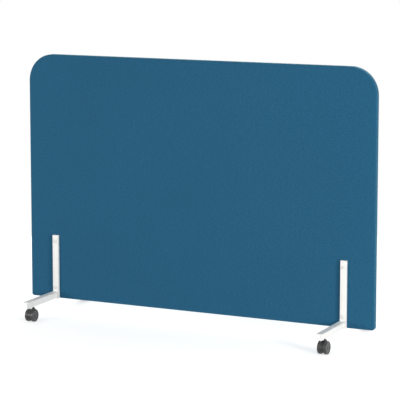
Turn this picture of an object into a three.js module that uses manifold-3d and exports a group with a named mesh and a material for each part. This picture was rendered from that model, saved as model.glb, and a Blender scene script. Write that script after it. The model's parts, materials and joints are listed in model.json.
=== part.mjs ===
// A rolling partition: a fabric-covered acoustic panel that stands between two pairs of white T-section
// feet, each on a black twin-wheel caster.
// Millimetres. +X runs along the panel's width, -Y points out of its front face, +Z is up.
// The origin is on the floor, under the middle of the panel.

import * as THREE from "three";
import { mergeVertices } from "three/addons/utils/BufferGeometryUtils.js";
import Module from "manifold-3d";

// Panel
const PANEL_WIDTH = 1800;
const PANEL_HEIGHT = 1200;
const PANEL_THICKNESS = 35;
const PANEL_BOTTOM = 67;
const UPPER_CORNER_RADIUS = 130;
const LOWER_CORNER_RADIUS = 12;
const EDGE_ROUNDING = 7;

// Layers of the panel, from the outside in
const FABRIC_THICKNESS = 1;
const WADDING_THICKNESS = 2.7;
const HARDBOARD_THICKNESS = 3;
const WADDING_INSET = 7;
const HARDBOARD_INSET = 2.5;
const TIMBER_INSET = 1.6;
const TIMBER_WIDTH = 45;
const FOOT_BLOCK_WIDTH = 90;
const FOOT_BLOCK_HEIGHT = 298;

// Feet
const FEET_SPACING = 1510;
const UPRIGHT_WIDTH = 30;
const UPRIGHT_DEPTH = 15;
const UPRIGHT_HEIGHT = 315;
const UPRIGHT_WALL = 1.5;
const UPRIGHT_CORNER_RADIUS = 2;
const LEG_REACH = 300;
const LEG_WIDTH = 30;
const LEG_HEIGHT = 35;
const LEG_THICKNESS = 5;
const LEG_CORNER_RADIUS = 1;
const LEG_FILLET_RADIUS = 2;
const WEB_SETBACK_AT_TOP = 8;
const WEB_SETBACK_AT_BOTTOM = 14;

// Bolts that clamp a front and a rear upright together through the panel
const LOWER_BOLT_HEIGHT = 55;
const UPPER_BOLT_HEIGHT = 285;
const BOLT_RADIUS = 3;
const SLEEVE_RADIUS = 5;
const BOLT_HEAD_RADIUS = 9;
const BOLT_HEAD_HEIGHT = 4.5;
const HEAD_RIM_HEIGHT = 0.8;
const DOME_STEPS = 3;
const BOLT_END = 14;
const SLEEVE_BORE_END = 20;
const SLEEVE_START = -16.5;

// Casters
const CASTER_DISTANCE = 230;
const CASTER_TRAIL = 16;
const WHEEL_RADIUS = 30;
const WHEEL_SIDES = 24;
const WHEEL_INNER_FACE = 8;
const WHEEL_OUTER_FACE = 22.5;
const INNER_CHAMFER = 2;
const SHOULDER_WIDTH = 3.5;
const RIM_WIDTH = 2;
const DISH_DEPTH = 1;
const HUB_RADIUS = 9;
const AXLE_RADIUS = 3;
const AXLE_HALF_LENGTH = 18;
const STEM_RADIUS = 4;
const STEM_BOTTOM = 40;
const STEM_TOP = 82;
const BOSS_RADIUS = 6;
const BOSS_HEIGHT = 18;
const BODY_HALF_WIDTH = 7.4;
const BODY_RADIUS = 28.5;
const BODY_BOTTOM = 9;
const BODY_REAR_FACE = 8.5;
const BODY_SLOPE_ANGLE = 110;
const NECK_BOTTOM = 58.5;
const NECK_BOTTOM_RADIUS = 7.4;
const NECK_TOP_RADIUS = 5.2;

const GAP = 0.3; // left between pieces that touch
const CHORD_ERROR = 0.3; // how far a faceted corner may cut inside its true arc
const ROUND_SIDES = 12; // sides of bolts, bores and stems
const PAST = 1; // how far a cutting piece runs past the face that it cuts

const PANEL_TOP = PANEL_BOTTOM + PANEL_HEIGHT;
const HALF_WIDTH = PANEL_WIDTH / 2;
const HALF_THICKNESS = PANEL_THICKNESS / 2;
const WADDING_FACE = HALF_THICKNESS - FABRIC_THICKNESS - GAP;
const HARDBOARD_FACE = WADDING_FACE - WADDING_THICKNESS - GAP;
const TIMBER_FACE = HARDBOARD_FACE - HARDBOARD_THICKNESS - GAP;
const FOOT_X = FEET_SPACING / 2;
const UPRIGHT_BACK = HALF_THICKNESS + GAP;
const UPRIGHT_FRONT = UPRIGHT_BACK + UPRIGHT_DEPTH;
const FLANGE_BOTTOM = PANEL_BOTTOM + LEG_HEIGHT - LEG_THICKNESS;
const BOLT_SEAT = UPRIGHT_FRONT + GAP;
const NECK_TOP = PANEL_BOTTOM - GAP;
const BOSS_TOP = PANEL_BOTTOM + BOSS_HEIGHT;
const BOLT_HEIGHTS = [PANEL_BOTTOM + LOWER_BOLT_HEIGHT, PANEL_BOTTOM + UPPER_BOLT_HEIGHT];

const FINISHES = {
  fabric: { color: 0x2f6180, roughness: 0.95, metalness: 0 },
  wadding: { color: 0xe6e4dd, roughness: 1, metalness: 0 },
  hardboard: { color: 0x7a5638, roughness: 0.7, metalness: 0 },
  timber: { color: 0xcfa878, roughness: 0.75, metalness: 0 },
  infill: { color: 0xb9b49f, roughness: 1, metalness: 0 },
  whiteSteel: { color: 0xf0f0ee, roughness: 0.45, metalness: 0.1 },
  whiteCap: { color: 0xf2f2f0, roughness: 0.4, metalness: 0 },
  zincSteel: { color: 0xb7babd, roughness: 0.35, metalness: 0.9 },
  blackPlastic: { color: 0x1c1c1d, roughness: 0.45, metalness: 0 },
  wheel: { color: 0x222223, roughness: 0.5, metalness: 0 },
};

const wasm = await Module();
wasm.setup();

// ---------------------------------------------------------------------------------------------------------
// Solids

function solidOf(geometry) {
  const bare = geometry.clone();
  bare.deleteAttribute("normal");
  bare.deleteAttribute("uv");
  const merged = mergeVertices(bare, 1e-4);
  const vertProperties = new Float32Array(merged.attributes.position.array);
  const triVerts = new Uint32Array(merged.index.array);
  return new wasm.Manifold(new wasm.Mesh({ numProp: 3, vertProperties, triVerts }));
}

function geometryOf(solid) {
  const { vertProperties, triVerts } = solid.getMesh();
  const geometry = new THREE.BufferGeometry();
  geometry.setAttribute("position", new THREE.BufferAttribute(vertProperties, 3));
  geometry.setIndex(new THREE.BufferAttribute(triVerts, 1));
  const faceted = geometry.toNonIndexed();
  faceted.computeVertexNormals();
  return faceted;
}

function without(geometry, ...cutters) {
  const whole = solidOf(geometry);
  return geometryOf(cutters.reduce((solid, cutter) => solid.subtract(solidOf(cutter)), whole));
}

function joined(...geometries) {
  return geometryOf(geometries.map(solidOf).reduce((solid, other) => solid.add(other)));
}

// ---------------------------------------------------------------------------------------------------------
// Outlines and basic shapes

// Points of an arc, both ends included, with as few steps as CHORD_ERROR allows.
function arc(centreX, centreY, radius, fromDegrees, toDegrees) {
  const widestStep = 2 * Math.acos(1 - Math.min(CHORD_ERROR / radius, 0.5));
  const from = THREE.MathUtils.degToRad(fromDegrees);
  const sweep = THREE.MathUtils.degToRad(toDegrees) - from;
  const steps = Math.ceil(Math.abs(sweep) / widestStep);
  return Array.from({ length: steps + 1 }, (_, step) => {
    const angle = from + (sweep * step) / steps;
    return new THREE.Vector2(centreX + radius * Math.cos(angle), centreY + radius * Math.sin(angle));
  });
}

// A rectangle whose corners have radii of their own, given from the lower left corner counterclockwise.
function roundedRectangle(left, right, bottom, top, radii) {
  const corners = [
    [left, bottom, 1, 1],
    [right, bottom, -1, 1],
    [right, top, -1, -1],
    [left, top, 1, -1],
  ];
  const points = corners.flatMap(([x, y, inwardX, inwardY], index) => {
    const radius = radii[index];
    if (radius === 0) {
      return [new THREE.Vector2(x, y)];
    }
    const startAngle = 180 + 90 * index;
    return arc(x + inwardX * radius, y + inwardY * radius, radius, startAngle, startAngle + 90);
  });
  return new THREE.Shape(points);
}

// An outline in X and Z, extruded along Y from frontY back to backY.
function plate(outline, frontY, backY) {
  const geometry = new THREE.ExtrudeGeometry(outline, { depth: backY - frontY, bevelEnabled: false });
  return geometry.rotateX(Math.PI / 2).translate(0, backY, 0);
}

// An outline in X and Y, extruded upwards.
function column(outline, bottomZ, topZ) {
  const geometry = new THREE.ExtrudeGeometry(outline, { depth: topZ - bottomZ, bevelEnabled: false });
  return geometry.translate(0, 0, bottomZ);
}

// An outline in Y and Z, extruded along X.
function crossPiece(outline, fromX, toX) {
  const geometry = new THREE.ExtrudeGeometry(outline, { depth: toX - fromX, bevelEnabled: false });
  return geometry.rotateX(Math.PI / 2).rotateZ(Math.PI / 2).translate(fromX, 0, 0);
}

function turned(profile, sides = ROUND_SIDES, startAngle = 0) {
  const points = profile.map(([radius, height]) => new THREE.Vector2(radius, height));
  return new THREE.LatheGeometry(points, sides, startAngle);
}

function turnedUpright(profile, sides) {
  return turned(profile, sides).rotateX(Math.PI / 2);
}

function turnedSideways(profile, sides, startAngle) {
  return turned(profile, sides, startAngle).rotateZ(-Math.PI / 2);
}

function rod(radius, from, to) {
  return [[0, from], [radius, from], [radius, to], [0, to]];
}

// ---------------------------------------------------------------------------------------------------------
// Panel

function panelOutline(inset) {
  const upper = UPPER_CORNER_RADIUS - inset;
  const lower = LOWER_CORNER_RADIUS - inset;
  return roundedRectangle(
    -HALF_WIDTH + inset,
    HALF_WIDTH - inset,
    PANEL_BOTTOM + inset,
    PANEL_TOP - inset,
    [lower, lower, upper, upper],
  );
}

// The panel's whole form, or the form of what lies inside its cover, with the rounded front and rear edges.
function roundedPanel(inset, bevelSegments) {
  const rounding = EDGE_ROUNDING - inset;
  const geometry = new THREE.ExtrudeGeometry(panelOutline(inset), {
    depth: PANEL_THICKNESS - 2 * EDGE_ROUNDING,
    bevelThickness: rounding,
    bevelSize: rounding,
    bevelOffset: -rounding,
    bevelSegments,
  });
  return geometry.rotateX(Math.PI / 2).translate(0, HALF_THICKNESS - EDGE_ROUNDING, 0);
}

function boltHoles(radius, fromY, toY) {
  const drill = rod(radius, fromY, toY);
  return [-FOOT_X, FOOT_X].flatMap((x) => BOLT_HEIGHTS.map((z) => turned(drill).translate(x, 0, z)));
}

const drilledThrough = boltHoles(SLEEVE_RADIUS + GAP, -PANEL_THICKNESS, PANEL_THICKNESS);

// One half of the cover: the face and its wrapped edge, up to the seam in the middle of the panel's edge.
function coverHalf(seamY, outsideY) {
  const otherHalf = plate(
    roundedRectangle(-PANEL_WIDTH, PANEL_WIDTH, 0, PANEL_TOP + PANEL_BOTTOM, [0, 0, 0, 0]),
    Math.min(seamY, outsideY),
    Math.max(seamY, outsideY),
  );
  return without(roundedPanel(0, 3), roundedPanel(FABRIC_THICKNESS, 2), otherHalf, ...drilledThrough);
}

// A flat layer between two distances from the panel's middle plane, on the front (-1) or rear (+1) side.
function layer(inset, outerFace, thickness, side) {
  const outer = side * outerFace;
  const inner = side * (outerFace - thickness);
  const sheet = plate(panelOutline(inset), Math.min(outer, inner), Math.max(outer, inner));
  return without(sheet, ...drilledThrough);
}

function timber(outline) {
  return plate(outline, -TIMBER_FACE, TIMBER_FACE);
}

const TIMBER_OUTSIDE = HALF_WIDTH - TIMBER_INSET;
const TIMBER_INSIDE = TIMBER_OUTSIDE - TIMBER_WIDTH;
const RAIL_BOTTOM = PANEL_BOTTOM + TIMBER_INSET;
const RAIL_TOP = PANEL_TOP - TIMBER_INSET;
const BAY_BOTTOM = RAIL_BOTTOM + TIMBER_WIDTH + GAP;
const BAY_TOP = RAIL_TOP - TIMBER_WIDTH - GAP;
const CORNER_CENTRE_X = HALF_WIDTH - UPPER_CORNER_RADIUS;
const CORNER_CENTRE_Z = PANEL_TOP - UPPER_CORNER_RADIUS;
const CORNER_OUTER_RADIUS = UPPER_CORNER_RADIUS - TIMBER_INSET;
const CORNER_INNER_RADIUS = CORNER_OUTER_RADIUS - TIMBER_WIDTH;

function topRail() {
  const end = CORNER_CENTRE_X - GAP;
  return timber(roundedRectangle(-end, end, RAIL_TOP - TIMBER_WIDTH, RAIL_TOP, [0, 0, 0, 0]));
}

function bottomRail() {
  const end = TIMBER_INSIDE - GAP;
  return timber(roundedRectangle(-end, end, RAIL_BOTTOM, RAIL_BOTTOM + TIMBER_WIDTH, [0, 0, 0, 0]));
}

function stile(side) {
  const rounded = LOWER_CORNER_RADIUS - TIMBER_INSET;
  const top = CORNER_CENTRE_Z - GAP;
  return side < 0
    ? timber(roundedRectangle(-TIMBER_OUTSIDE, -TIMBER_INSIDE, RAIL_BOTTOM, top, [rounded, 0, 0, 0]))
    : timber(roundedRectangle(TIMBER_INSIDE, TIMBER_OUTSIDE, RAIL_BOTTOM, top, [0, rounded, 0, 0]));
}

function centreStile() {
  return timber(roundedRectangle(-TIMBER_WIDTH / 2, TIMBER_WIDTH / 2, BAY_BOTTOM, BAY_TOP, [0, 0, 0, 0]));
}

// The curved piece that joins the top rail to a stile.
function cornerBlock(side) {
  const [from, to] = side < 0 ? [90, 180] : [0, 90];
  const outer = arc(side * CORNER_CENTRE_X, CORNER_CENTRE_Z, CORNER_OUTER_RADIUS, from, to);
  const inner = arc(side * CORNER_CENTRE_X, CORNER_CENTRE_Z, CORNER_INNER_RADIUS, to, from);
  return timber(new THREE.Shape([...outer, ...inner]));
}

function footBlockOutline(side, clearance) {
  const middle = side * FOOT_X;
  const reach = FOOT_BLOCK_WIDTH / 2 + clearance;
  const top = BAY_BOTTOM + FOOT_BLOCK_HEIGHT + clearance;
  return roundedRectangle(middle - reach, middle + reach, BAY_BOTTOM - clearance, top, [0, 0, 0, 0]);
}

function footBlock(side) {
  return without(timber(footBlockOutline(side, 0)), ...drilledThrough);
}

// The absorbent slab of one bay, cut out round the foot block.
function infillSlab(side) {
  const nearCentre = TIMBER_WIDTH / 2 + GAP;
  const nearEdge = TIMBER_INSIDE - GAP;
  const rounded = CORNER_INNER_RADIUS - GAP;
  const outline = side < 0
    ? roundedRectangle(-nearEdge, -nearCentre, BAY_BOTTOM, BAY_TOP, [0, 0, 0, rounded])
    : roundedRectangle(nearCentre, nearEdge, BAY_BOTTOM, BAY_TOP, [0, 0, rounded, 0]);
  const blockSpace = plate(footBlockOutline(side, GAP), -HALF_THICKNESS, HALF_THICKNESS);
  return without(timber(outline), blockSpace);
}

// ---------------------------------------------------------------------------------------------------------
// Feet, drawn for a front foot: -Y is outwards, X = 0 is the foot's own middle

function uprightSection(wall) {
  const halfWidth = UPRIGHT_WIDTH / 2 - wall;
  const radius = UPRIGHT_CORNER_RADIUS - wall;
  return roundedRectangle(
    -halfWidth,
    halfWidth,
    -UPRIGHT_FRONT + wall,
    -UPRIGHT_BACK - wall,
    [radius, radius, radius, radius],
  );
}

// A rectangular tube with a closed top, open at the foot, drilled for its two bolts.
function upright(holeRadius) {
  const top = PANEL_BOTTOM + UPRIGHT_HEIGHT;
  const bore = column(uprightSection(UPRIGHT_WALL), PANEL_BOTTOM - PAST, top - UPRIGHT_WALL);
  const drill = rod(holeRadius, -UPRIGHT_FRONT - PAST, -UPRIGHT_BACK + PAST);
  const holes = BOLT_HEIGHTS.map((z) => turned(drill).translate(0, 0, z));
  return without(column(uprightSection(0), PANEL_BOTTOM, top), bore, ...holes);
}

// The T-section: a flange on top of a web.
function legSection() {
  const half = LEG_WIDTH / 2;
  const halfWeb = LEG_THICKNESS / 2;
  const corner = LEG_CORNER_RADIUS;
  const fillet = LEG_FILLET_RADIUS;
  const bottom = PANEL_BOTTOM;
  const top = bottom + LEG_HEIGHT;
  return new THREE.Shape([
    ...arc(-halfWeb + corner, bottom + corner, corner, 180, 270),
    ...arc(halfWeb - corner, bottom + corner, corner, 270, 360),
    ...arc(halfWeb + fillet, FLANGE_BOTTOM - fillet, fillet, 180, 90),
    ...arc(half - corner, FLANGE_BOTTOM + corner, corner, 270, 360),
    ...arc(half - corner, top - corner, corner, 0, 90),
    ...arc(-half + corner, top - corner, corner, 90, 180),
    ...arc(-half + corner, FLANGE_BOTTOM + corner, corner, 180, 270),
    ...arc(-halfWeb - fillet, FLANGE_BOTTOM - fillet, fillet, 90, 0),
  ]);
}

// What is sawn off the web's outer end, on a slant, so that the flange stands out past it.
function webEndCut() {
  const tip = -HALF_THICKNESS - LEG_REACH;
  return crossPiece(
    new THREE.Shape([
      new THREE.Vector2(tip - PAST, PANEL_BOTTOM - PAST),
      new THREE.Vector2(tip + WEB_SETBACK_AT_BOTTOM, PANEL_BOTTOM - PAST),
      new THREE.Vector2(tip + WEB_SETBACK_AT_TOP, FLANGE_BOTTOM),
      new THREE.Vector2(tip - PAST, FLANGE_BOTTOM),
    ]),
    -LEG_WIDTH,
    LEG_WIDTH,
  );
}

function leg() {
  const bossSpace = turnedUpright(rod(BOSS_RADIUS + GAP, PANEL_BOTTOM - PAST, BOSS_TOP + GAP));
  bossSpace.translate(0, -HALF_THICKNESS - CASTER_DISTANCE, 0);
  const bar = plate(legSection(), -HALF_THICKNESS - LEG_REACH, -UPRIGHT_FRONT - GAP);
  return without(bar, bossSpace, webEndCut());
}

// The round socket for the caster's stem, let into the web from below.
function casterBoss() {
  const bore = STEM_RADIUS + GAP;
  return turnedUpright([
    [bore, PANEL_BOTTOM],
    [BOSS_RADIUS, PANEL_BOTTOM],
    [BOSS_RADIUS, BOSS_TOP],
    [bore, BOSS_TOP],
    [bore, PANEL_BOTTOM],
  ]);
}

// The head of a bolt or sleeve nut, as radius and height above its seat: a dome on a short rim.
function headProfile() {
  const dome = BOLT_HEAD_HEIGHT - HEAD_RIM_HEIGHT;
  const points = [[BOLT_HEAD_RADIUS, 0]];
  for (let step = 0; step <= DOME_STEPS; step += 1) {
    const angle = (Math.PI / 2) * (step / DOME_STEPS);
    const radius = step < DOME_STEPS ? BOLT_HEAD_RADIUS * Math.cos(angle) : 0;
    points.push([radius, HEAD_RIM_HEIGHT + dome * Math.sin(angle)]);
  }
  return points;
}

function connectorBolt() {
  const head = headProfile().map(([radius, height]) => [radius, -BOLT_SEAT - height]);
  const shank = [[BOLT_RADIUS, -BOLT_SEAT], [BOLT_RADIUS, BOLT_END], [0, BOLT_END]];
  return turned([...head.reverse(), ...shank]);
}

function sleeveNut() {
  const bore = BOLT_RADIUS + GAP;
  const sleeve = [
    [0, SLEEVE_BORE_END],
    [bore, SLEEVE_BORE_END],
    [bore, SLEEVE_START],
    [SLEEVE_RADIUS, SLEEVE_START],
    [SLEEVE_RADIUS, BOLT_SEAT],
  ];
  const head = headProfile().map(([radius, height]) => [radius, BOLT_SEAT + height]);
  return turned([...sleeve, ...head]);
}

// ---------------------------------------------------------------------------------------------------------
// Caster, drawn round its stem: the stem stands at X = Y = 0, the axle lies towards -Y, the floor is Z = 0

function casterStem() {
  return turnedUpright(rod(STEM_RADIUS, STEM_BOTTOM, STEM_TOP));
}

function casterAxle() {
  return turnedSideways(rod(AXLE_RADIUS, -AXLE_HALF_LENGTH, AXLE_HALF_LENGTH));
}

// The centre web's outline in Y and Z: a disc round the axle, flat below, with a straight rear wall that
// carries the neck and a slope from the neck down to the disc.
function casterBodyOutline() {
  const centreY = -CASTER_TRAIL;
  const centreZ = WHEEL_RADIUS;
  const bottomAngle = THREE.MathUtils.radToDeg(Math.asin((centreZ - BODY_BOTTOM) / BODY_RADIUS));
  const rearAngle = THREE.MathUtils.radToDeg(Math.acos((BODY_REAR_FACE - centreY) / BODY_RADIUS));
  return new THREE.Shape([
    ...arc(centreY, centreZ, BODY_RADIUS, -bottomAngle, -rearAngle),
    new THREE.Vector2(BODY_REAR_FACE, NECK_BOTTOM + PAST),
    new THREE.Vector2(-BODY_REAR_FACE, NECK_BOTTOM + PAST),
    ...arc(centreY, centreZ, BODY_RADIUS, BODY_SLOPE_ANGLE, 180 + bottomAngle),
  ]);
}

function casterBody() {
  const web = crossPiece(casterBodyOutline(), -BODY_HALF_WIDTH, BODY_HALF_WIDTH);
  const neck = turnedUpright([
    [0, NECK_BOTTOM],
    [NECK_BOTTOM_RADIUS, NECK_BOTTOM],
    [NECK_TOP_RADIUS, NECK_TOP],
    [0, NECK_TOP],
  ]);
  const stemBore = turnedUpright(rod(STEM_RADIUS + GAP, STEM_BOTTOM - GAP, NECK_TOP + PAST));
  const axleBore = turnedSideways(rod(AXLE_RADIUS + GAP, -AXLE_HALF_LENGTH, AXLE_HALF_LENGTH));
  axleBore.translate(0, -CASTER_TRAIL, WHEEL_RADIUS);
  return without(joined(web, neck), stemBore, axleBore);
}

// A wheel with a blind bore on its inner side, a rounded shoulder and a hub that stands in a shallow dish.
// One flat of the tread lies on the floor.
function wheel() {
  const tread = WHEEL_RADIUS / Math.cos(Math.PI / WHEEL_SIDES);
  const bore = AXLE_RADIUS + GAP;
  const inner = WHEEL_INNER_FACE;
  const outer = WHEEL_OUTER_FACE;
  const rim = tread - SHOULDER_WIDTH;
  const profile = [
    [0, AXLE_HALF_LENGTH + GAP],
    [bore, AXLE_HALF_LENGTH + GAP],
    [bore, inner],
    [tread - INNER_CHAMFER, inner],
    [tread, inner + INNER_CHAMFER],
    [tread, outer - SHOULDER_WIDTH],
    [rim + SHOULDER_WIDTH * Math.SQRT1_2, outer - SHOULDER_WIDTH * (1 - Math.SQRT1_2)],
    [rim, outer],
    [rim - RIM_WIDTH, outer - DISH_DEPTH],
    [HUB_RADIUS, outer - DISH_DEPTH],
    [HUB_RADIUS - DISH_DEPTH, outer],
    [0, outer],
  ];
  return turnedSideways(profile, WHEEL_SIDES, Math.PI / WHEEL_SIDES);
}

// ---------------------------------------------------------------------------------------------------------
// Assembly

function addPiece(group, name, geometry, finish) {
  const mesh = new THREE.Mesh(geometry, new THREE.MeshStandardMaterial(FINISHES[finish]));
  mesh.name = name;
  group.add(mesh);
  return mesh;
}

function makePanel() {
  const panel = new THREE.Group();
  for (const [side, half] of [[-1, "front"], [1, "rear"]]) {
    const wadding = layer(WADDING_INSET, WADDING_FACE, WADDING_THICKNESS, side);
    const hardboard = layer(HARDBOARD_INSET, HARDBOARD_FACE, HARDBOARD_THICKNESS, side);
    addPiece(panel, `${half}_fabric_cover`, coverHalf((side * GAP) / 2, -side * PANEL_THICKNESS), "fabric");
    addPiece(panel, `${half}_wadding`, wadding, "wadding");
    addPiece(panel, `${half}_hardboard`, hardboard, "hardboard");
  }
  addPiece(panel, "top_rail", topRail(), "timber");
  addPiece(panel, "bottom_rail", bottomRail(), "timber");
  addPiece(panel, "centre_stile", centreStile(), "timber");
  for (const [side, end] of [[-1, "left"], [1, "right"]]) {
    addPiece(panel, `${end}_stile`, stile(side), "timber");
    addPiece(panel, `${end}_corner_block`, cornerBlock(side), "timber");
    addPiece(panel, `${end}_foot_block`, footBlock(side), "timber");
    addPiece(panel, `${end}_infill_slab`, infillSlab(side), "infill");
  }
  return panel;
}

// rowSide is -1 on the front of the panel and +1 on its rear, where the whole foot is turned round.
function makeCaster(name, rowSide) {
  const caster = new THREE.Group();
  addPiece(caster, `${name}_stem`, casterStem(), "zincSteel");
  addPiece(caster, `${name}_body`, casterBody(), "blackPlastic");
  const axle = addPiece(caster, `${name}_axle`, casterAxle(), "zincSteel");
  axle.position.set(0, -CASTER_TRAIL, WHEEL_RADIUS);
  for (const side of [-1, 1]) {
    const end = side * rowSide < 0 ? "right" : "left";
    const mesh = addPiece(caster, `${name}_${end}_wheel`, wheel(), "wheel");
    mesh.position.copy(axle.position);
    mesh.rotation.z = side < 0 ? Math.PI : 0;
  }
  return caster;
}

function makeFoot(name, rowSide) {
  const foot = new THREE.Group();
  const holeRadius = (rowSide < 0 ? BOLT_RADIUS : SLEEVE_RADIUS) + GAP;
  addPiece(foot, `${name}_upright`, upright(holeRadius), "whiteSteel");
  addPiece(foot, `${name}_leg`, leg(), "whiteSteel");
  const mounting = new THREE.Group();
  mounting.position.y = -HALF_THICKNESS - CASTER_DISTANCE;
  addPiece(mounting, `${name}_caster_boss`, casterBoss(), "whiteSteel");
  mounting.add(makeCaster(`${name}_caster`, rowSide));
  foot.add(mounting);
  foot.rotation.z = rowSide < 0 ? 0 : Math.PI;
  return foot;
}

const partition = new THREE.Group();
partition.add(makePanel());
for (const [side, end] of [[-1, "left"], [1, "right"]]) {
  for (const [rowSide, row] of [[-1, "front"], [1, "rear"]]) {
    const foot = makeFoot(`${row}_${end}`, rowSide);
    foot.position.x = side * FOOT_X;
    partition.add(foot);
  }
  for (const [height, level] of [[BOLT_HEIGHTS[0], "lower"], [BOLT_HEIGHTS[1], "upper"]]) {
    const bolt = addPiece(partition, `${end}_${level}_bolt`, connectorBolt(), "whiteCap");
    const nut = addPiece(partition, `${end}_${level}_sleeve_nut`, sleeveNut(), "whiteCap");
    bolt.position.set(side * FOOT_X, 0, height);
    nut.position.copy(bolt.position);
  }
}

export default partition;
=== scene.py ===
import json
import math

import bmesh
import bpy
from mathutils import Matrix, Vector, noise


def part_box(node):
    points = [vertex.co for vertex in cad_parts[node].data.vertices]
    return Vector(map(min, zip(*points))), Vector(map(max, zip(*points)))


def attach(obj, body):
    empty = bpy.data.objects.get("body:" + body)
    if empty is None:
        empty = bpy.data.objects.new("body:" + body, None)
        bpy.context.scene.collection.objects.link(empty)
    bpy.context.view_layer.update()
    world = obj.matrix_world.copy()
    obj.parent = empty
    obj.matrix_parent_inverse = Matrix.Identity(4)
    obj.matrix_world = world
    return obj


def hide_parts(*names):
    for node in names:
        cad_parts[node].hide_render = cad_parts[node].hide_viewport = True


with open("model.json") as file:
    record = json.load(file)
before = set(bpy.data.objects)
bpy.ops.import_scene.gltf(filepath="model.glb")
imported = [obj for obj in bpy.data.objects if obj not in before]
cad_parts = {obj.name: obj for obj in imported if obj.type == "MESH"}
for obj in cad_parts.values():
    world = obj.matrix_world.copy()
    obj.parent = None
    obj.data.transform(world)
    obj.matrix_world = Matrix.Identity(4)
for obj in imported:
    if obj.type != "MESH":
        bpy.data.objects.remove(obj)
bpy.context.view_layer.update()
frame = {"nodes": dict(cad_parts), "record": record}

# Metres, in the part's own frame: +X along the panel, -Y out of its front face, +Z up, and the
# floor at Z = 0.
MM = 0.001
X, Y, Z = 0, 1, 2


def box_middle(node, axis):
    low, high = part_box(node)
    return (low[axis] + high[axis]) / 2


# Panel
PANEL_LOW, PANEL_HIGH = (Vector(corner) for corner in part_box("front_fabric_cover"))
HALF_WIDTH = PANEL_HIGH.x
HALF_THICKNESS = -PANEL_LOW.y
PANEL_BOTTOM, PANEL_TOP = PANEL_LOW.z, PANEL_HIGH.z
UPPER_CORNER = 130 * MM
LOWER_CORNER = 12 * MM
EDGE_ROUNDING = 7 * MM
FABRIC_THICKNESS = 1 * MM

# Feet and casters
UPRIGHT_LOW, UPRIGHT_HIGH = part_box("front_right_upright")
LEG_LOW, LEG_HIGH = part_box("front_right_leg")
FOOT_X = box_middle("front_right_upright", X)
UPRIGHT_FRONT = -UPRIGHT_LOW[Y]
UPRIGHT_BACK = -UPRIGHT_HIGH[Y]
UPRIGHT_TOP = UPRIGHT_HIGH[Z]
LEG_TIP = -LEG_LOW[Y]
LEG_TOP = LEG_HIGH[Z]
LEG_WIDTH = 30 * MM
STEEL = 5 * MM
BOSS_RADIUS = 6 * MM
BOSS_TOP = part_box("front_right_caster_boss")[1][Z]
BOLT_HEIGHTS = [box_middle(bolt, Z) for bolt in ("right_lower_bolt", "right_upper_bolt")]
STEM_Y = box_middle("front_right_caster_stem", Y)
AXLE_Y = box_middle("front_right_caster_axle", Y)
WHEEL_RADIUS = 30 * MM
WHEEL_INNER = 8 * MM
WHEEL_OUTER = 22.5 * MM
SHOULDER = 3.6 * MM
STEM_RADIUS = 4 * MM
GAP = 0.3 * MM

FRONT, REAR = -1, 1
LEFT, RIGHT = -1, 1
ROW_NAMES = {FRONT: "front", REAR: "rear"}
END_NAMES = {LEFT: "left", RIGHT: "right"}


# ----------------------------------------------------------------------------------------
# Camera, light and floor

CAMERA_PLACE = (3.734, -7.743, 1.989)
CAMERA_YAW = 0.4476
CAMERA_PITCH = 0.1378
CAMERA_LENS = 166.0
CAMERA_SHIFT = -0.1008
SENSOR_WIDTH = 36

LAMP_TARGET = (0, 0, 0.6)
LAMPS = {  # place, size across and up, watts
    "front_key": ((-4.4, -6.3, 1.4), (1.8, 1.4), 176),
    "right_key": ((5.6, -3.0, 1.4), (1.8, 1.4), 245),
    "rear_fill": ((-1.5, 5.5, 2.4), (4, 2.5), 190),
}
AMBIENT = 0.5
FLOOR_RADIUS = 2.6
FLOOR_ALBEDO = 0.8
FLOOR_LIFT = 0.53
FLOOR_SIDES = 96


def make_camera():
    data = bpy.data.cameras.new("camera")
    data.lens = CAMERA_LENS
    data.sensor_width = SENSOR_WIDTH
    data.shift_y = CAMERA_SHIFT
    camera = bpy.data.objects.new("camera", data)
    camera.location = CAMERA_PLACE
    camera.rotation_euler = (math.pi / 2 - CAMERA_PITCH, 0, CAMERA_YAW)
    bpy.context.collection.objects.link(camera)
    bpy.context.scene.camera = camera


def make_lamp(name, place, size, power):
    data = bpy.data.lights.new(name, "AREA")
    data.shape = "RECTANGLE"
    data.size, data.size_y = size
    data.energy = power
    lamp = bpy.data.objects.new(name, data)
    lamp.location = place
    aim = Vector(LAMP_TARGET) - Vector(place)
    lamp.rotation_euler = aim.to_track_quat("-Z", "Y").to_euler()
    bpy.context.collection.objects.link(lamp)


BACKGROUND_RAYS = ("Is Camera Ray", "Is Glossy Ray", "Is Transmission Ray")


def background_factor(tree):
    """1 on rays that show the background, also mirrored or through glass, and 0 on the rest."""
    path = tree.nodes.new("ShaderNodeLightPath")
    factor = path.outputs[BACKGROUND_RAYS[0]]
    for kind in BACKGROUND_RAYS[1:]:
        either = tree.nodes.new("ShaderNodeMath")
        either.operation = "MAXIMUM"
        tree.links.new(factor, either.inputs[0])
        tree.links.new(path.outputs[kind], either.inputs[1])
        factor = either.outputs[0]
    return factor


def make_world(ambient):
    world = bpy.data.worlds.new("studio")
    world.use_nodes = True
    bpy.context.scene.world = world
    tree = world.node_tree
    tree.nodes.clear()
    seen = tree.nodes.new("ShaderNodeBackground")
    seen.inputs["Color"].default_value = (1, 1, 1, 1)
    seen.inputs["Strength"].default_value = 1.0
    fill = tree.nodes.new("ShaderNodeBackground")
    fill.inputs["Color"].default_value = (1, 1, 1, 1)
    fill.inputs["Strength"].default_value = ambient
    mix = tree.nodes.new("ShaderNodeMixShader")
    tree.links.new(background_factor(tree), mix.inputs[0])
    tree.links.new(fill.outputs[0], mix.inputs[1])
    tree.links.new(seen.outputs[0], mix.inputs[2])
    out = tree.nodes.new("ShaderNodeOutputWorld")
    tree.links.new(mix.outputs[0], out.inputs[0])


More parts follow.
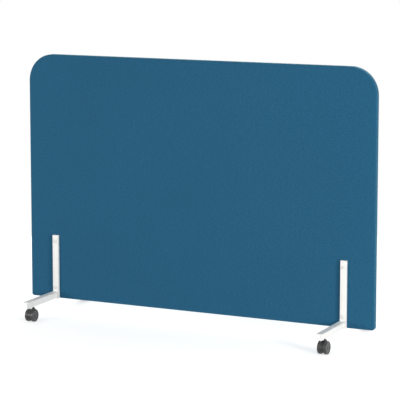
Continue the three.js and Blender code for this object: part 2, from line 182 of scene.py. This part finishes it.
def make_floor(radius, albedo, lift):
    """A pale floor that catches the shadow. As background it is lifted to white where it is lit."""
    mesh = bpy.data.meshes.new("floor")
    angles = [2 * math.pi * step / FLOOR_SIDES for step in range(FLOOR_SIDES)]
    rim = [(radius * math.cos(a), radius * math.sin(a), 0) for a in angles]
    mesh.from_pydata(rim, [], [tuple(range(FLOOR_SIDES))])
    floor = bpy.data.objects.new("floor", mesh)
    bpy.context.collection.objects.link(floor)
    material = bpy.data.materials.new("floor")
    material.use_nodes = True
    tree = material.node_tree
    tree.nodes.clear()
    diffuse = tree.nodes.new("ShaderNodeBsdfDiffuse")
    diffuse.inputs["Color"].default_value = (albedo, albedo, albedo, 1)
    glow = tree.nodes.new("ShaderNodeEmission")
    glow.inputs["Color"].default_value = (1, 1, 1, 1)
    glow.inputs["Strength"].default_value = lift
    both = tree.nodes.new("ShaderNodeAddShader")
    tree.links.new(diffuse.outputs[0], both.inputs[0])
    tree.links.new(glow.outputs[0], both.inputs[1])
    mix = tree.nodes.new("ShaderNodeMixShader")
    tree.links.new(background_factor(tree), mix.inputs[0])
    tree.links.new(diffuse.outputs[0], mix.inputs[1])
    tree.links.new(both.outputs[0], mix.inputs[2])
    out = tree.nodes.new("ShaderNodeOutputMaterial")
    tree.links.new(mix.outputs[0], out.inputs[0])
    mesh.materials.append(material)


make_camera()
make_world(AMBIENT)
make_floor(FLOOR_RADIUS, FLOOR_ALBEDO, FLOOR_LIFT)
for lamp_name, lamp_settings in LAMPS.items():
    make_lamp(lamp_name, *lamp_settings)
bpy.context.scene.view_settings.view_transform = "Standard"


# ----------------------------------------------------------------------------------------
# Materials

SOCKETS = {
    "roughness": "Roughness",
    "metallic": "Metallic",
    "specular": "Specular IOR Level",
    "sheen": "Sheen Weight",
    "sheen_roughness": "Sheen Roughness",
    "sheen_tint": "Sheen Tint",
}


class Look:
    """One procedural material on a Principled shader, with short calls for its nodes."""

    def __init__(self, name, **settings):
        self.material = bpy.data.materials.new(name)
        self.material.use_nodes = True
        self.tree = self.material.node_tree
        self.shader = self.tree.nodes["Principled BSDF"]
        for socket, value in settings.items():
            self.shader.inputs[SOCKETS[socket]].default_value = value
        coordinates = self.tree.nodes.new("ShaderNodeTexCoord")
        self.place = coordinates.outputs["Object"]

    def node(self, kind, inputs, **settings):
        made = self.tree.nodes.new("ShaderNode" + kind)
        for name, value in settings.items():
            setattr(made, name, value)
        for name, value in inputs.items():
            if isinstance(value, bpy.types.NodeSocket):
                self.tree.links.new(value, made.inputs[name])
            else:
                made.inputs[name].default_value = value
        return made

    def maths(self, operation, *values):
        return self.node("Math", dict(enumerate(values)), operation=operation).outputs[0]

    def noise(self, scale, detail=2.0, roughness=0.5, place=None):
        grain = {"Scale": scale, "Detail": detail, "Roughness": roughness}
        return self.node("TexNoise", {"Vector": place or self.place, **grain}).outputs["Fac"]

    def stretched(self, x, y, z):
        return self.node("Mapping", {"Vector": self.place, "Scale": (x, y, z)}).outputs[0]

    def ramp(self, factor, stops):
        made = self.node("ValToRGB", {"Fac": factor})
        ramp = made.color_ramp
        while len(ramp.elements) < len(stops):
            ramp.elements.new(0.5)
        for element, (position, colour) in zip(ramp.elements, stops):
            element.position = position
            element.color = (*colour, 1)
        return made.outputs["Color"]

    def blend(self, factor, first, second, kind="MIX"):
        inputs = {"Fac": factor, "Color1": first, "Color2": second}
        return self.node("MixRGB", inputs, blend_type=kind).outputs["Color"]

    def set(self, socket, value):
        self.tree.links.new(value, self.shader.inputs[socket])

    def bump(self, height, depth, strength=1.0, under=None):
        inputs = {"Height": height, "Distance": depth, "Strength": strength}
        if under is not None:
            inputs["Normal"] = under
        return self.node("Bump", inputs).outputs["Normal"]


def linear(*screen):
    """A colour written as it looks on a screen, 0 to 255, as the shader's linear values."""
    levels = [level / 255 for level in screen]
    return tuple(v / 12.92 if v <= 0.04045 else ((v + 0.055) / 1.055) ** 2.4 for v in levels)


WEAVE_PITCH = 1.6 * MM


def screen_fabric():
    """A close plain weave of slightly mixed blue yarns, carried on round the panel's edges."""
    sheen = {"sheen": 0.6, "sheen_roughness": 0.4, "sheen_tint": (0.4, 0.85, 1, 1)}
    look = Look("screen_fabric", roughness=0.92, specular=0.2, **sheen)
    place = look.node("SeparateXYZ", {"Vector": look.place}).outputs
    normal = look.node("NewGeometry", {}).outputs["Normal"]
    facing = look.node("SeparateXYZ", {"Vector": normal}).outputs
    from_middle = look.maths("ABSOLUTE", place["Y"])
    edge_depth = look.maths("SUBTRACT", from_middle, HALF_THICKNESS - EDGE_ROUNDING)
    threads = []
    for axis in ("X", "Z"):
        lean = look.maths("MULTIPLY", facing[axis], look.maths("ABSOLUTE", facing[axis]))
        wrapped = look.maths("SUBTRACT", place[axis], look.maths("MULTIPLY", lean, edge_depth))
        phase = look.maths("MULTIPLY", wrapped, 2 * math.pi / WEAVE_PITCH)
        threads.append(look.maths("SINE", phase))
    weave = look.maths("MULTIPLY", *threads)
    yarn = look.noise(900, 3.0, 0.6, look.stretched(1, 1, 0.35))
    slub = look.noise(170, 3.0, 0.6, look.stretched(0.5, 1, 1))
    cloud = look.noise(2.2, 2.0)
    mixed = look.ramp(yarn, [(0.3, linear(22, 77, 105)), (0.7, linear(38, 98, 133))])
    for factor, depth, middle in ((weave, 0.06, 0.0), (slub, 0.75, 0.5), (cloud, 0.1, 0.5)):
        tone = look.maths("MULTIPLY_ADD", factor, depth, 1 - depth * middle)
        grey = look.node("CombineXYZ", {"X": tone, "Y": tone, "Z": tone}).outputs[0]
        mixed = look.blend(1.0, mixed, grey, "MULTIPLY")
    look.set("Base Color", mixed)
    raised = look.bump(weave, 0.25 * MM, 0.6)
    look.set("Normal", look.bump(yarn, 0.15 * MM, 0.5, raised))
    return look.material


def powder_coat():
    """White powder coat on steel: a faint orange peel and a little soil."""
    look = Look("white_powder_coat", roughness=0.42, specular=0.5)
    peel = look.noise(700, 2.0, 0.5)
    soil = look.noise(9, 3.0, 0.6)
    whites = [(0.3, linear(233, 232, 228)), (0.7, linear(242, 241, 238))]
    look.set("Base Color", look.ramp(soil, whites))
    look.set("Roughness", look.maths("MULTIPLY_ADD", soil, 0.12, 0.36))
    look.set("Normal", look.bump(peel, 0.05 * MM, 0.25))
    return look.material


def enamel():
    """Smooth white enamel on the bolt heads."""
    look = Look("white_enamel", roughness=0.3, specular=0.5)
    soil = look.noise(60, 2.0)
    whites = [(0.3, linear(222, 222, 220)), (0.7, linear(231, 231, 229))]
    look.set("Base Color", look.ramp(soil, whites))
    look.set("Normal", look.bump(look.noise(400), 0.03 * MM, 0.3))
    return look.material


def black_nylon(name, roughness, dark, light, grain_scale):
    """Moulded black nylon with a fine spark-eroded grain."""
    look = Look(name, roughness=roughness, specular=0.5)
    wear = look.noise(55, 3.0, 0.65)
    look.set("Base Color", look.ramp(wear, [(0.35, dark), (0.75, light)]))
    look.set("Roughness", look.maths("MULTIPLY_ADD", wear, 0.12, roughness - 0.06))
    look.set("Normal", look.bump(look.noise(grain_scale, 2.0), 0.05 * MM, 0.4))
    return look.material


def zinc_plate():
    look = Look("zinc_plate", roughness=0.32, metallic=1.0)
    brushed = look.noise(300, 2.0, 0.6, look.stretched(1, 1, 8))
    greys = [(0.3, linear(176, 180, 184)), (0.7, linear(206, 208, 208))]
    look.set("Base Color", look.ramp(brushed, greys))
    look.set("Roughness", look.maths("MULTIPLY_ADD", brushed, 0.2, 0.24))
    look.set("Normal", look.bump(brushed, 0.03 * MM, 0.3))
    return look.material


def timber(name, dark, light):
    look = Look(name, roughness=0.7, specular=0.3)
    warp = look.noise(3, 2.0)
    along = look.stretched(60, 60, 6)
    bent = look.node("VectorMath", {0: along, 1: warp}, operation="ADD").outputs[0]
    grain = look.noise(1.0, 4.0, 0.6, bent)
    look.set("Base Color", look.ramp(grain, [(0.35, dark), (0.65, light)]))
    look.set("Normal", look.bump(grain, 0.2 * MM, 0.4))
    return look.material


def fibre(name, dark, light, scale):
    look = Look(name, roughness=1.0, specular=0.1)
    tangle = look.noise(scale, 4.0, 0.7)
    look.set("Base Color", look.ramp(tangle, [(0.3, dark), (0.7, light)]))
    look.set("Normal", look.bump(tangle, 0.6 * MM, 0.6))
    return look.material


FABRIC = screen_fabric()
WHITE = powder_coat()
ENAMEL = enamel()
BODY_BLACK = black_nylon("black_nylon", 0.38, (0.013, 0.013, 0.013), (0.02, 0.02, 0.02), 1500)
WHEEL_BLACK = black_nylon("wheel_nylon", 0.36, (0.028, 0.028, 0.028), (0.038, 0.038, 0.038), 1100)
ZINC = zinc_plate()
CAD_LOOKS = {
    "wadding": fibre("wadding_fibre", linear(214, 210, 198), linear(238, 236, 228), 500),
    "hardboard": timber("hardboard", linear(104, 72, 46), linear(140, 100, 66)),
    "timber": timber("softwood", linear(186, 140, 92), linear(222, 184, 132)),
    "infill": fibre("infill_fibre", linear(150, 146, 124), linear(196, 190, 166), 220),
    "fabric": FABRIC,
    "white_steel": WHITE,
    "white_cap": ENAMEL,
    "zinc_steel": ZINC,
    "black_plastic": BODY_BLACK,
    "wheel": WHEEL_BLACK,
}


def finish_cad_nodes():
    slots = {part["node"]: part["material_slot"] for part in frame["record"]["subparts"]}
    for name, obj in frame["nodes"].items():
        look = CAD_LOOKS[slots[name]]
        if obj.data.materials:
            for index in range(len(obj.data.materials)):
                obj.data.materials[index] = look
        else:
            obj.data.materials.append(look)


# ----------------------------------------------------------------------------------------
# Mesh helpers

def arc(centre_x, centre_y, radius, start, end, steps):
    """Points of an arc in the plane, both ends included, angles in degrees."""
    angles = [math.radians(start + (end - start) * step / steps) for step in range(steps + 1)]
    return [(centre_x + radius * math.cos(a), centre_y + radius * math.sin(a)) for a in angles]


def rounded_rectangle(left, right, bottom, top, radii, steps):
    """Corner radii counterclockwise from the lower left, each with its own number of steps."""
    corners = [
        (left, bottom, 1, 1),
        (right, bottom, -1, 1),
        (right, top, -1, -1),
        (left, top, 1, -1),
    ]
    points = []
    for index, (x, y, inward_x, inward_y) in enumerate(corners):
        radius = radii[index]
        start = 180 + 90 * index
        centre = (x + inward_x * radius, y + inward_y * radius)
        points += arc(*centre, radius, start, start + 90, steps[index])
    return points


def in_millimetres(*points):
    return [(first * MM, second * MM) for first, second in points]


def skin(rings, cap_start=True, cap_end=True):
    """A bmesh through closed rings of the same number of points, capped at its ends if asked."""
    bm = bmesh.new()
    loops = [[bm.verts.new(point) for point in ring] for ring in rings]
    count = len(loops[0])
    for first, second in zip(loops, loops[1:]):
        for index in range(count):
            after = (index + 1) % count
            bm.faces.new((first[index], first[after], second[after], second[index]))
    if cap_start:
        bm.faces.new(list(reversed(loops[0])))
    if cap_end:
        bm.faces.new(loops[-1])
    bmesh.ops.recalc_face_normals(bm, faces=bm.faces[:])
    return bm


def turned(profile, segments):
    """A closed body from (radius, height) points that start and end on the axis, turned round Z."""
    bm = bmesh.new()
    loops = []
    for radius, height in profile:
        if radius == 0:
            loops.append([bm.verts.new((0, 0, height))])
            continue
        angles = [2 * math.pi * step / segments for step in range(segments)]
        ring = [(radius * math.cos(a), radius * math.sin(a), height) for a in angles]
        loops.append([bm.verts.new(point) for point in ring])
    for first, second in zip(loops, loops[1:]):
        for index in range(segments):
            after = (index + 1) % segments
            if len(first) == 1:
                bm.faces.new((first[0], second[index], second[after]))
            elif len(second) == 1:
                bm.faces.new((first[index], first[after], second[0]))
            else:
                bm.faces.new((first[index], first[after], second[after], second[index]))
    bmesh.ops.recalc_face_normals(bm, faces=bm.faces[:])
    return bm


def soften(bm, width, segments=2, least_angle=25):
    """Bevels every edge that is sharper than the given angle."""
    least = math.radians(least_angle)
    sharp = [e for e in bm.edges if len(e.link_faces) == 2 and e.calc_face_angle(0) > least]
    shape = {"segments": segments, "profile": 0.6, "affect": "EDGES", "clamp_overlap": True}
    bmesh.ops.bevel(bm, geom=sharp, offset=width, **shape)
    bmesh.ops.recalc_face_normals(bm, faces=bm.faces[:])


def piece(name, bm, material, smooth_angle=40):
    """Makes a bmesh an object that lies where its mesh does, smooth below the given angle."""
    for edge in bm.edges:
        faces = edge.link_faces
        edge.smooth = len(faces) != 2 or edge.calc_face_angle(0) < math.radians(smooth_angle)
    for face in bm.faces:
        face.smooth = True
    mesh = bpy.data.meshes.new(name)
    bm.to_mesh(mesh)
    bm.free()
    mesh.materials.append(material)
    obj = bpy.data.objects.new(name, mesh)
    bpy.context.collection.objects.link(obj)
    return obj


def foot_matrix(row, end):
    """From a foot's own axes, with -Y outwards, to the part's."""
    turn = Matrix.Rotation(0 if row == FRONT else math.pi, 4, "Z")
    return Matrix.Translation((end * FOOT_X, 0, 0)) @ turn


# ----------------------------------------------------------------------------------------
# Panel

SEAM_TUCK = 0.8 * MM
ROUNDING_STEPS = 8
CORNER_STEPS = (10, 10, 28, 28)


def panel_ring(inset, distance, side):
    """The panel's outline drawn in by inset, at a distance from the middle plane."""
    least = 2 * MM
    lower, upper = max(LOWER_CORNER - inset, least), max(UPPER_CORNER - inset, least)
    outline = rounded_rectangle(
        -HALF_WIDTH + inset,
        HALF_WIDTH - inset,
        PANEL_BOTTOM + inset,
        PANEL_TOP - inset,
        (lower, lower, upper, upper),
        CORNER_STEPS,
    )
    return [Vector((x, side * distance, z)) for x, z in outline]


def make_cover(side):
    """One stretched half of the cover, from the seam in the edge's middle round to the face."""
    name = ROW_NAMES[side]
    shoulder = HALF_THICKNESS - EDGE_ROUNDING
    rings = [  # the tuck into the seam
        panel_ring(SEAM_TUCK, GAP / 2, side),
        panel_ring(SEAM_TUCK * 0.3, GAP / 2 + SEAM_TUCK * 0.6, side),
        panel_ring(0, GAP / 2 + SEAM_TUCK * 2, side),
    ]
    for step in range(ROUNDING_STEPS + 1):
        angle = math.pi / 2 * step / ROUNDING_STEPS
        inset = EDGE_ROUNDING * (1 - math.cos(angle))
        rings.append(panel_ring(inset, shoulder + EDGE_ROUNDING * math.sin(angle), side))
    rings.append(panel_ring(2 * EDGE_ROUNDING, HALF_THICKNESS, side))
    bm = skin(rings, cap_start=False)
    cover = piece(f"{name}_cover", bm, FABRIC, smooth_angle=60)
    solid = cover.modifiers.new("thickness", "SOLIDIFY")
    solid.thickness = FABRIC_THICKNESS
    solid.offset = -1
    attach(cover, "panel")
    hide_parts(f"{name}_fabric_cover")
    return cover


# ----------------------------------------------------------------------------------------
# Feet

TUBE_CORNER = 2 * MM
TUBE_LEAST_CORNER = 0.4 * MM
TUBE_CORNER_STEPS = 4
TUBE_WALL = 1.5 * MM
TUBE_FOOT_CHAMFER = 0.3 * MM
TUBE_TOP_ROUNDING = 0.8 * MM
TUBE_TOP_STEPS = 4


def tube_ring(inset, z):
    radius = max(TUBE_CORNER - inset, TUBE_LEAST_CORNER)
    half = LEG_WIDTH / 2 - inset
    outline = rounded_rectangle(
        -half,
        half,
        -UPRIGHT_FRONT + inset,
        -UPRIGHT_BACK - inset,
        (radius,) * 4,
        (TUBE_CORNER_STEPS,) * 4,
    )
    return [Vector((x, y, z)) for x, y in outline]


def make_upright(row, end):
    """A rectangular tube with a softly rounded closed top, open below."""
    rings = [
        tube_ring(TUBE_WALL, UPRIGHT_TOP - 3 * TUBE_WALL),
        tube_ring(TUBE_WALL, PANEL_BOTTOM),
        tube_ring(TUBE_FOOT_CHAMFER, PANEL_BOTTOM),
        tube_ring(0, PANEL_BOTTOM + TUBE_FOOT_CHAMFER),
    ]
    for step in range(TUBE_TOP_STEPS + 1):
        angle = math.pi / 2 * step / TUBE_TOP_STEPS
        inset = TUBE_TOP_ROUNDING * (1 - math.cos(angle))
        rings.append(tube_ring(inset, UPRIGHT_TOP - TUBE_TOP_ROUNDING * (1 - math.sin(angle))))
    bm = skin(rings)
    bm.transform(foot_matrix(row, end))
    name = f"{ROW_NAMES[row]}_{END_NAMES[end]}_upright"
    obj = piece(f"{name}_tube", bm, WHITE)
    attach(obj, "panel")
    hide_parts(name)


WEB_SETBACK_TOP = 8 * MM
WEB_SETBACK_BOTTOM = 14 * MM
LEG_EDGE = 0.9 * MM
BOSS_CHAMFER = 0.6 * MM
BOSS_SIDES = 40


def make_leg(row, end):
    """The T-section leg: flange and web in one, the web sawn short on a slant."""
    half, web = LEG_WIDTH / 2, STEEL / 2
    bottom, under, top = PANEL_BOTTOM, LEG_TOP - STEEL, LEG_TOP
    right_half = [(web, bottom), (web, under), (half, under), (half, top)]
    left_half = [(-half, top), (-half, under), (-web, under)]
    section = [(-web, bottom), *right_half, *left_half]
    tip = -LEG_TIP
    ends = [tip + WEB_SETBACK_BOTTOM] * 2 + [tip + WEB_SETBACK_TOP] * 6
    bm = bmesh.new()
    back = [bm.verts.new((x, -UPRIGHT_FRONT, z)) for x, z in section]
    middle = [bm.verts.new((x, y, z)) for (x, z), y in zip(section, ends)]
    flange = [2, 3, 4, 5, 6, 7]
    front = {i: bm.verts.new((section[i][0], tip, section[i][1])) for i in flange}
    for index in range(8):
        after = (index + 1) % 8
        bm.faces.new((back[index], back[after], middle[after], middle[index]))
    for index, after in zip(flange, flange[1:] + flange[:1]):
        bm.faces.new((middle[index], middle[after], front[after], front[index]))
    bm.faces.new([middle[index] for index in (0, 1, 2, 7)])
    bm.faces.new([front[index] for index in flange])
    bm.faces.new(list(reversed(back)))
    bmesh.ops.recalc_face_normals(bm, faces=bm.faces[:])
    soften(bm, LEG_EDGE, segments=3)
    bm.transform(foot_matrix(row, end))
    name = f"{ROW_NAMES[row]}_{END_NAMES[end]}_leg"
    obj = piece(f"{name}_bar", bm, WHITE)
    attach(obj, "panel")
    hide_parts(name)


def make_boss(row, end):
    """The round socket for the stem: a ring profile whose last point closes on its first."""
    bore = STEM_RADIUS + GAP
    profile = [
        (bore, PANEL_BOTTOM),
        (BOSS_RADIUS - BOSS_CHAMFER, PANEL_BOTTOM),
        (BOSS_RADIUS, PANEL_BOTTOM + BOSS_CHAMFER),
        (BOSS_RADIUS, BOSS_TOP - BOSS_CHAMFER),
        (BOSS_RADIUS - BOSS_CHAMFER, BOSS_TOP),
        (bore, BOSS_TOP),
        (bore, PANEL_BOTTOM),
    ]
    angles = [2 * math.pi * step / BOSS_SIDES for step in range(BOSS_SIDES)]
    rings = [[Vector((r * math.cos(a), r * math.sin(a), z)) for a in angles] for r, z in profile]
    bm = skin(rings, cap_start=False, cap_end=False)
    bmesh.ops.remove_doubles(bm, verts=bm.verts[:], dist=1e-6)
    bm.transform(foot_matrix(row, end) @ Matrix.Translation((0, STEM_Y, 0)))
    name = f"{ROW_NAMES[row]}_{END_NAMES[end]}_caster_boss"
    obj = piece(f"{name}_socket", bm, WHITE)
    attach(obj, "panel")
    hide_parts(name)


WELD_STEP = 1.2 * MM
WELD_SIDES = 8
WELD_UNEVENNESS = 0.22
WELD_RIPPLES_PER_METRE = 700
TOP_WELD_RADIUS = 1.6 * MM
TOP_WELD_SHORT = 1.5 * MM
WEB_WELD_RADIUS = 1.5 * MM


def weld_bead(name, path, radius, matrix):
    """A small uneven bead of weld along a path, painted over."""
    rings = []
    angles = [2 * math.pi * step / WELD_SIDES for step in range(WELD_SIDES)]
    for index, point in enumerate(path):
        before, after = path[max(index - 1, 0)], path[min(index + 1, len(path) - 1)]
        along = (Vector(after) - Vector(before)).normalized()
        across = along.orthogonal().normalized()
        other = along.cross(across)
        ripple = noise.noise(Vector(point) * WELD_RIPPLES_PER_METRE)
        swell = radius * (1 + WELD_UNEVENNESS * ripple)
        rim = [(across * math.cos(a) + other * math.sin(a)) * swell for a in angles]
        rings.append([Vector(point) + offset for offset in rim])
    bm = skin(rings)
    bm.transform(matrix)
    obj = piece(name, bm, WHITE, smooth_angle=80)
    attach(obj, "panel")


def straight(start, end, step):
    start, end = Vector(start), Vector(end)
    count = max(2, round((end - start).length / step))
    return [start.lerp(end, index / count) for index in range(count + 1)]


def make_welds(row, end):
    name = f"{ROW_NAMES[row]}_{END_NAMES[end]}"
    matrix = foot_matrix(row, end)
    y, half, web = -UPRIGHT_FRONT, LEG_WIDTH / 2 - TOP_WELD_SHORT, STEEL / 2
    under = LEG_TOP - STEEL
    top = straight((-half, y, LEG_TOP), (half, y, LEG_TOP), WELD_STEP)
    weld_bead(f"{name}_top_weld", top, TOP_WELD_RADIUS, matrix)
    for side in (LEFT, RIGHT):
        x = side * web
        path = straight((x, y, PANEL_BOTTOM + WEB_WELD_RADIUS), (x, y, under), WELD_STEP)
        weld_bead(f"{name}_web_weld_{side + 2}", path, WEB_WELD_RADIUS, matrix)


HEAD_SIDES = 48
HEAD_DOME_CENTRE = -12.5 * MM
HEAD_DOME_RADIUS = 16.9 * MM


def head_profile():
    """(radius, height above the tube) of a head, from its shank round the undercut to the crown."""
    shank = in_millimetres((0, -12), (3, -12), (3, 0))
    undercut = in_millimetres((6.8, 0), (6.8, 1.1), (8.7, 1.1), (9, 1.4))
    *dome, crown = arc(0, HEAD_DOME_CENTRE, HEAD_DOME_RADIUS, 58, 90, 9)
    return [*shank, *undercut, *dome, (0, crown[1])]


def make_bolt_heads(end):
    """Domed heads, undercut next to the tube: the bolt's in front, the sleeve nut's behind."""
    for height, level in zip(BOLT_HEIGHTS, ("lower", "upper")):
        for row, kind in ((FRONT, "bolt"), (REAR, "sleeve_nut")):
            bm = turned(head_profile(), HEAD_SIDES)
            turn = Matrix.Rotation(math.pi / 2 * -row, 4, "X")
            bm.transform(Matrix.Translation((end * FOOT_X, row * UPRIGHT_FRONT, height)) @ turn)
            name = f"{END_NAMES[end]}_{level}_{kind}"
            obj = piece(f"{name}_head", bm, ENAMEL)
            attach(obj, "panel")
            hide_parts(name)


# ----------------------------------------------------------------------------------------
# Casters

BODY_HALF = 7.4 * MM
BODY_RADIUS = 28.5 * MM
BODY_BOTTOM = 9 * MM
BODY_REAR = 8.5 * MM
BODY_SHOULDER = 59.5 * MM
BODY_CREST = 110  # degrees, where the round front of the body starts
BODY_EDGE = 1.0 * MM
NECK_TOP = PANEL_BOTTOM - GAP
NECK_SIDES = 48


def caster_matrix(row, end):
    return foot_matrix(row, end) @ Matrix.Translation((0, STEM_Y, 0))


def make_caster_body(row, end):
    """The centre web between the wheels, joined to the round neck below the boss."""
    trail = AXLE_Y - STEM_Y
    fall = math.degrees(math.asin((WHEEL_RADIUS - BODY_BOTTOM) / BODY_RADIUS))
    rear = math.degrees(math.acos((BODY_REAR - trail) / BODY_RADIUS))
    outline = arc(trail, WHEEL_RADIUS, BODY_RADIUS, -fall, -rear, 10)
    outline += [(BODY_REAR, BODY_SHOULDER), (-BODY_REAR, BODY_SHOULDER)]
    outline += arc(trail, WHEEL_RADIUS, BODY_RADIUS, BODY_CREST, 180 + fall, 40)
    rings = [[Vector((x, y, z)) for y, z in outline] for x in (-BODY_HALF, BODY_HALF)]
    bm = skin(rings)
    soften(bm, BODY_EDGE, segments=3)
    web = piece("caster_web", bm, BODY_BLACK)
    root = in_millimetres((0, 50), (6.5, 50), (7.4, 58.6))
    taper = in_millimetres((7, 60.2), (6, 62.4), (5.4, 64.8), (5.2, 66.2))
    profile = [*root, *taper, (4.9 * MM, NECK_TOP), (0, NECK_TOP)]
    neck = piece("caster_neck", turned(profile, NECK_SIDES), BODY_BLACK)
    union = web.modifiers.new("neck", "BOOLEAN")
    union.operation = "UNION"
    union.object = neck
    union.solver = "EXACT"
    depsgraph = bpy.context.evaluated_depsgraph_get()
    joined = bmesh.new()
    joined.from_object(web, depsgraph)
    bpy.data.objects.remove(neck)
    bpy.data.objects.remove(web)
    joined.transform(caster_matrix(row, end))
    name = f"{ROW_NAMES[row]}_{END_NAMES[end]}"
    obj = piece(f"{name}_caster_housing", joined, BODY_BLACK, smooth_angle=45)
    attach(obj, f"{name}_swivel")
    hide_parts(f"{name}_caster_body")


WHEEL_SIDES = 96
WHEEL_INNER_EDGE = 2 * MM
BORE = 3.3 * MM
BORE_END = 18.3 * MM
BORE_CHAMFER = 0.4 * MM


def wheel_profile():
    """(radius, distance from the caster's middle) of a wheel, from its blind bore to its hub."""
    bore = [(0, BORE_END), (BORE, BORE_END), (BORE, WHEEL_INNER + BORE_CHAMFER)]
    bore.append((BORE + BORE_CHAMFER, WHEEL_INNER))
    edge = WHEEL_INNER_EDGE
    inner_edge = arc(WHEEL_RADIUS - edge, WHEEL_INNER + edge, edge, -90, 0, 5)
    shoulder = arc(WHEEL_RADIUS - SHOULDER, WHEEL_OUTER - SHOULDER, SHOULDER, 0, 84, 10)
    dish = in_millimetres((25.6, 22.2), (25, 21.6), (24.2, 21.3), (16, 20.9))
    hub = in_millimetres((10.4, 20.9), (9.6, 21.1), (9.1, 21.7), (8.2, 22.2))
    crown = in_millimetres((6, 22.4), (3, 22.5), (0, 22.5))
    return [*bore, *inner_edge, *shoulder, *dish, *hub, *crown]


def make_wheel(row, end, side):
    """A wheel whose dish and hub face the given side of the part."""
    bm = turned(wheel_profile(), WHEEL_SIDES)
    facing = Matrix.Rotation(side * math.pi / 2, 4, "Y")
    centre = Matrix.Translation((end * FOOT_X, -row * AXLE_Y, WHEEL_RADIUS))
    bm.transform(centre @ facing)
    name = f"{ROW_NAMES[row]}_{END_NAMES[end]}"
    obj = piece(f"{name}_{END_NAMES[side]}_roller", bm, WHEEL_BLACK, smooth_angle=35)
    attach(obj, f"{name}_wheel_{END_NAMES[side][0]}")
    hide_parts(f"{name}_caster_{END_NAMES[side]}_wheel")


# ----------------------------------------------------------------------------------------
# Assembly

finish_cad_nodes()
for side in (FRONT, REAR):
    make_cover(side)
for end in (LEFT, RIGHT):
    for row in (FRONT, REAR):
        make_upright(row, end)
        make_leg(row, end)
        make_boss(row, end)
        make_welds(row, end)
        make_caster_body(row, end)
        for side in (LEFT, RIGHT):
            make_wheel(row, end, side)
    make_bolt_heads(end)
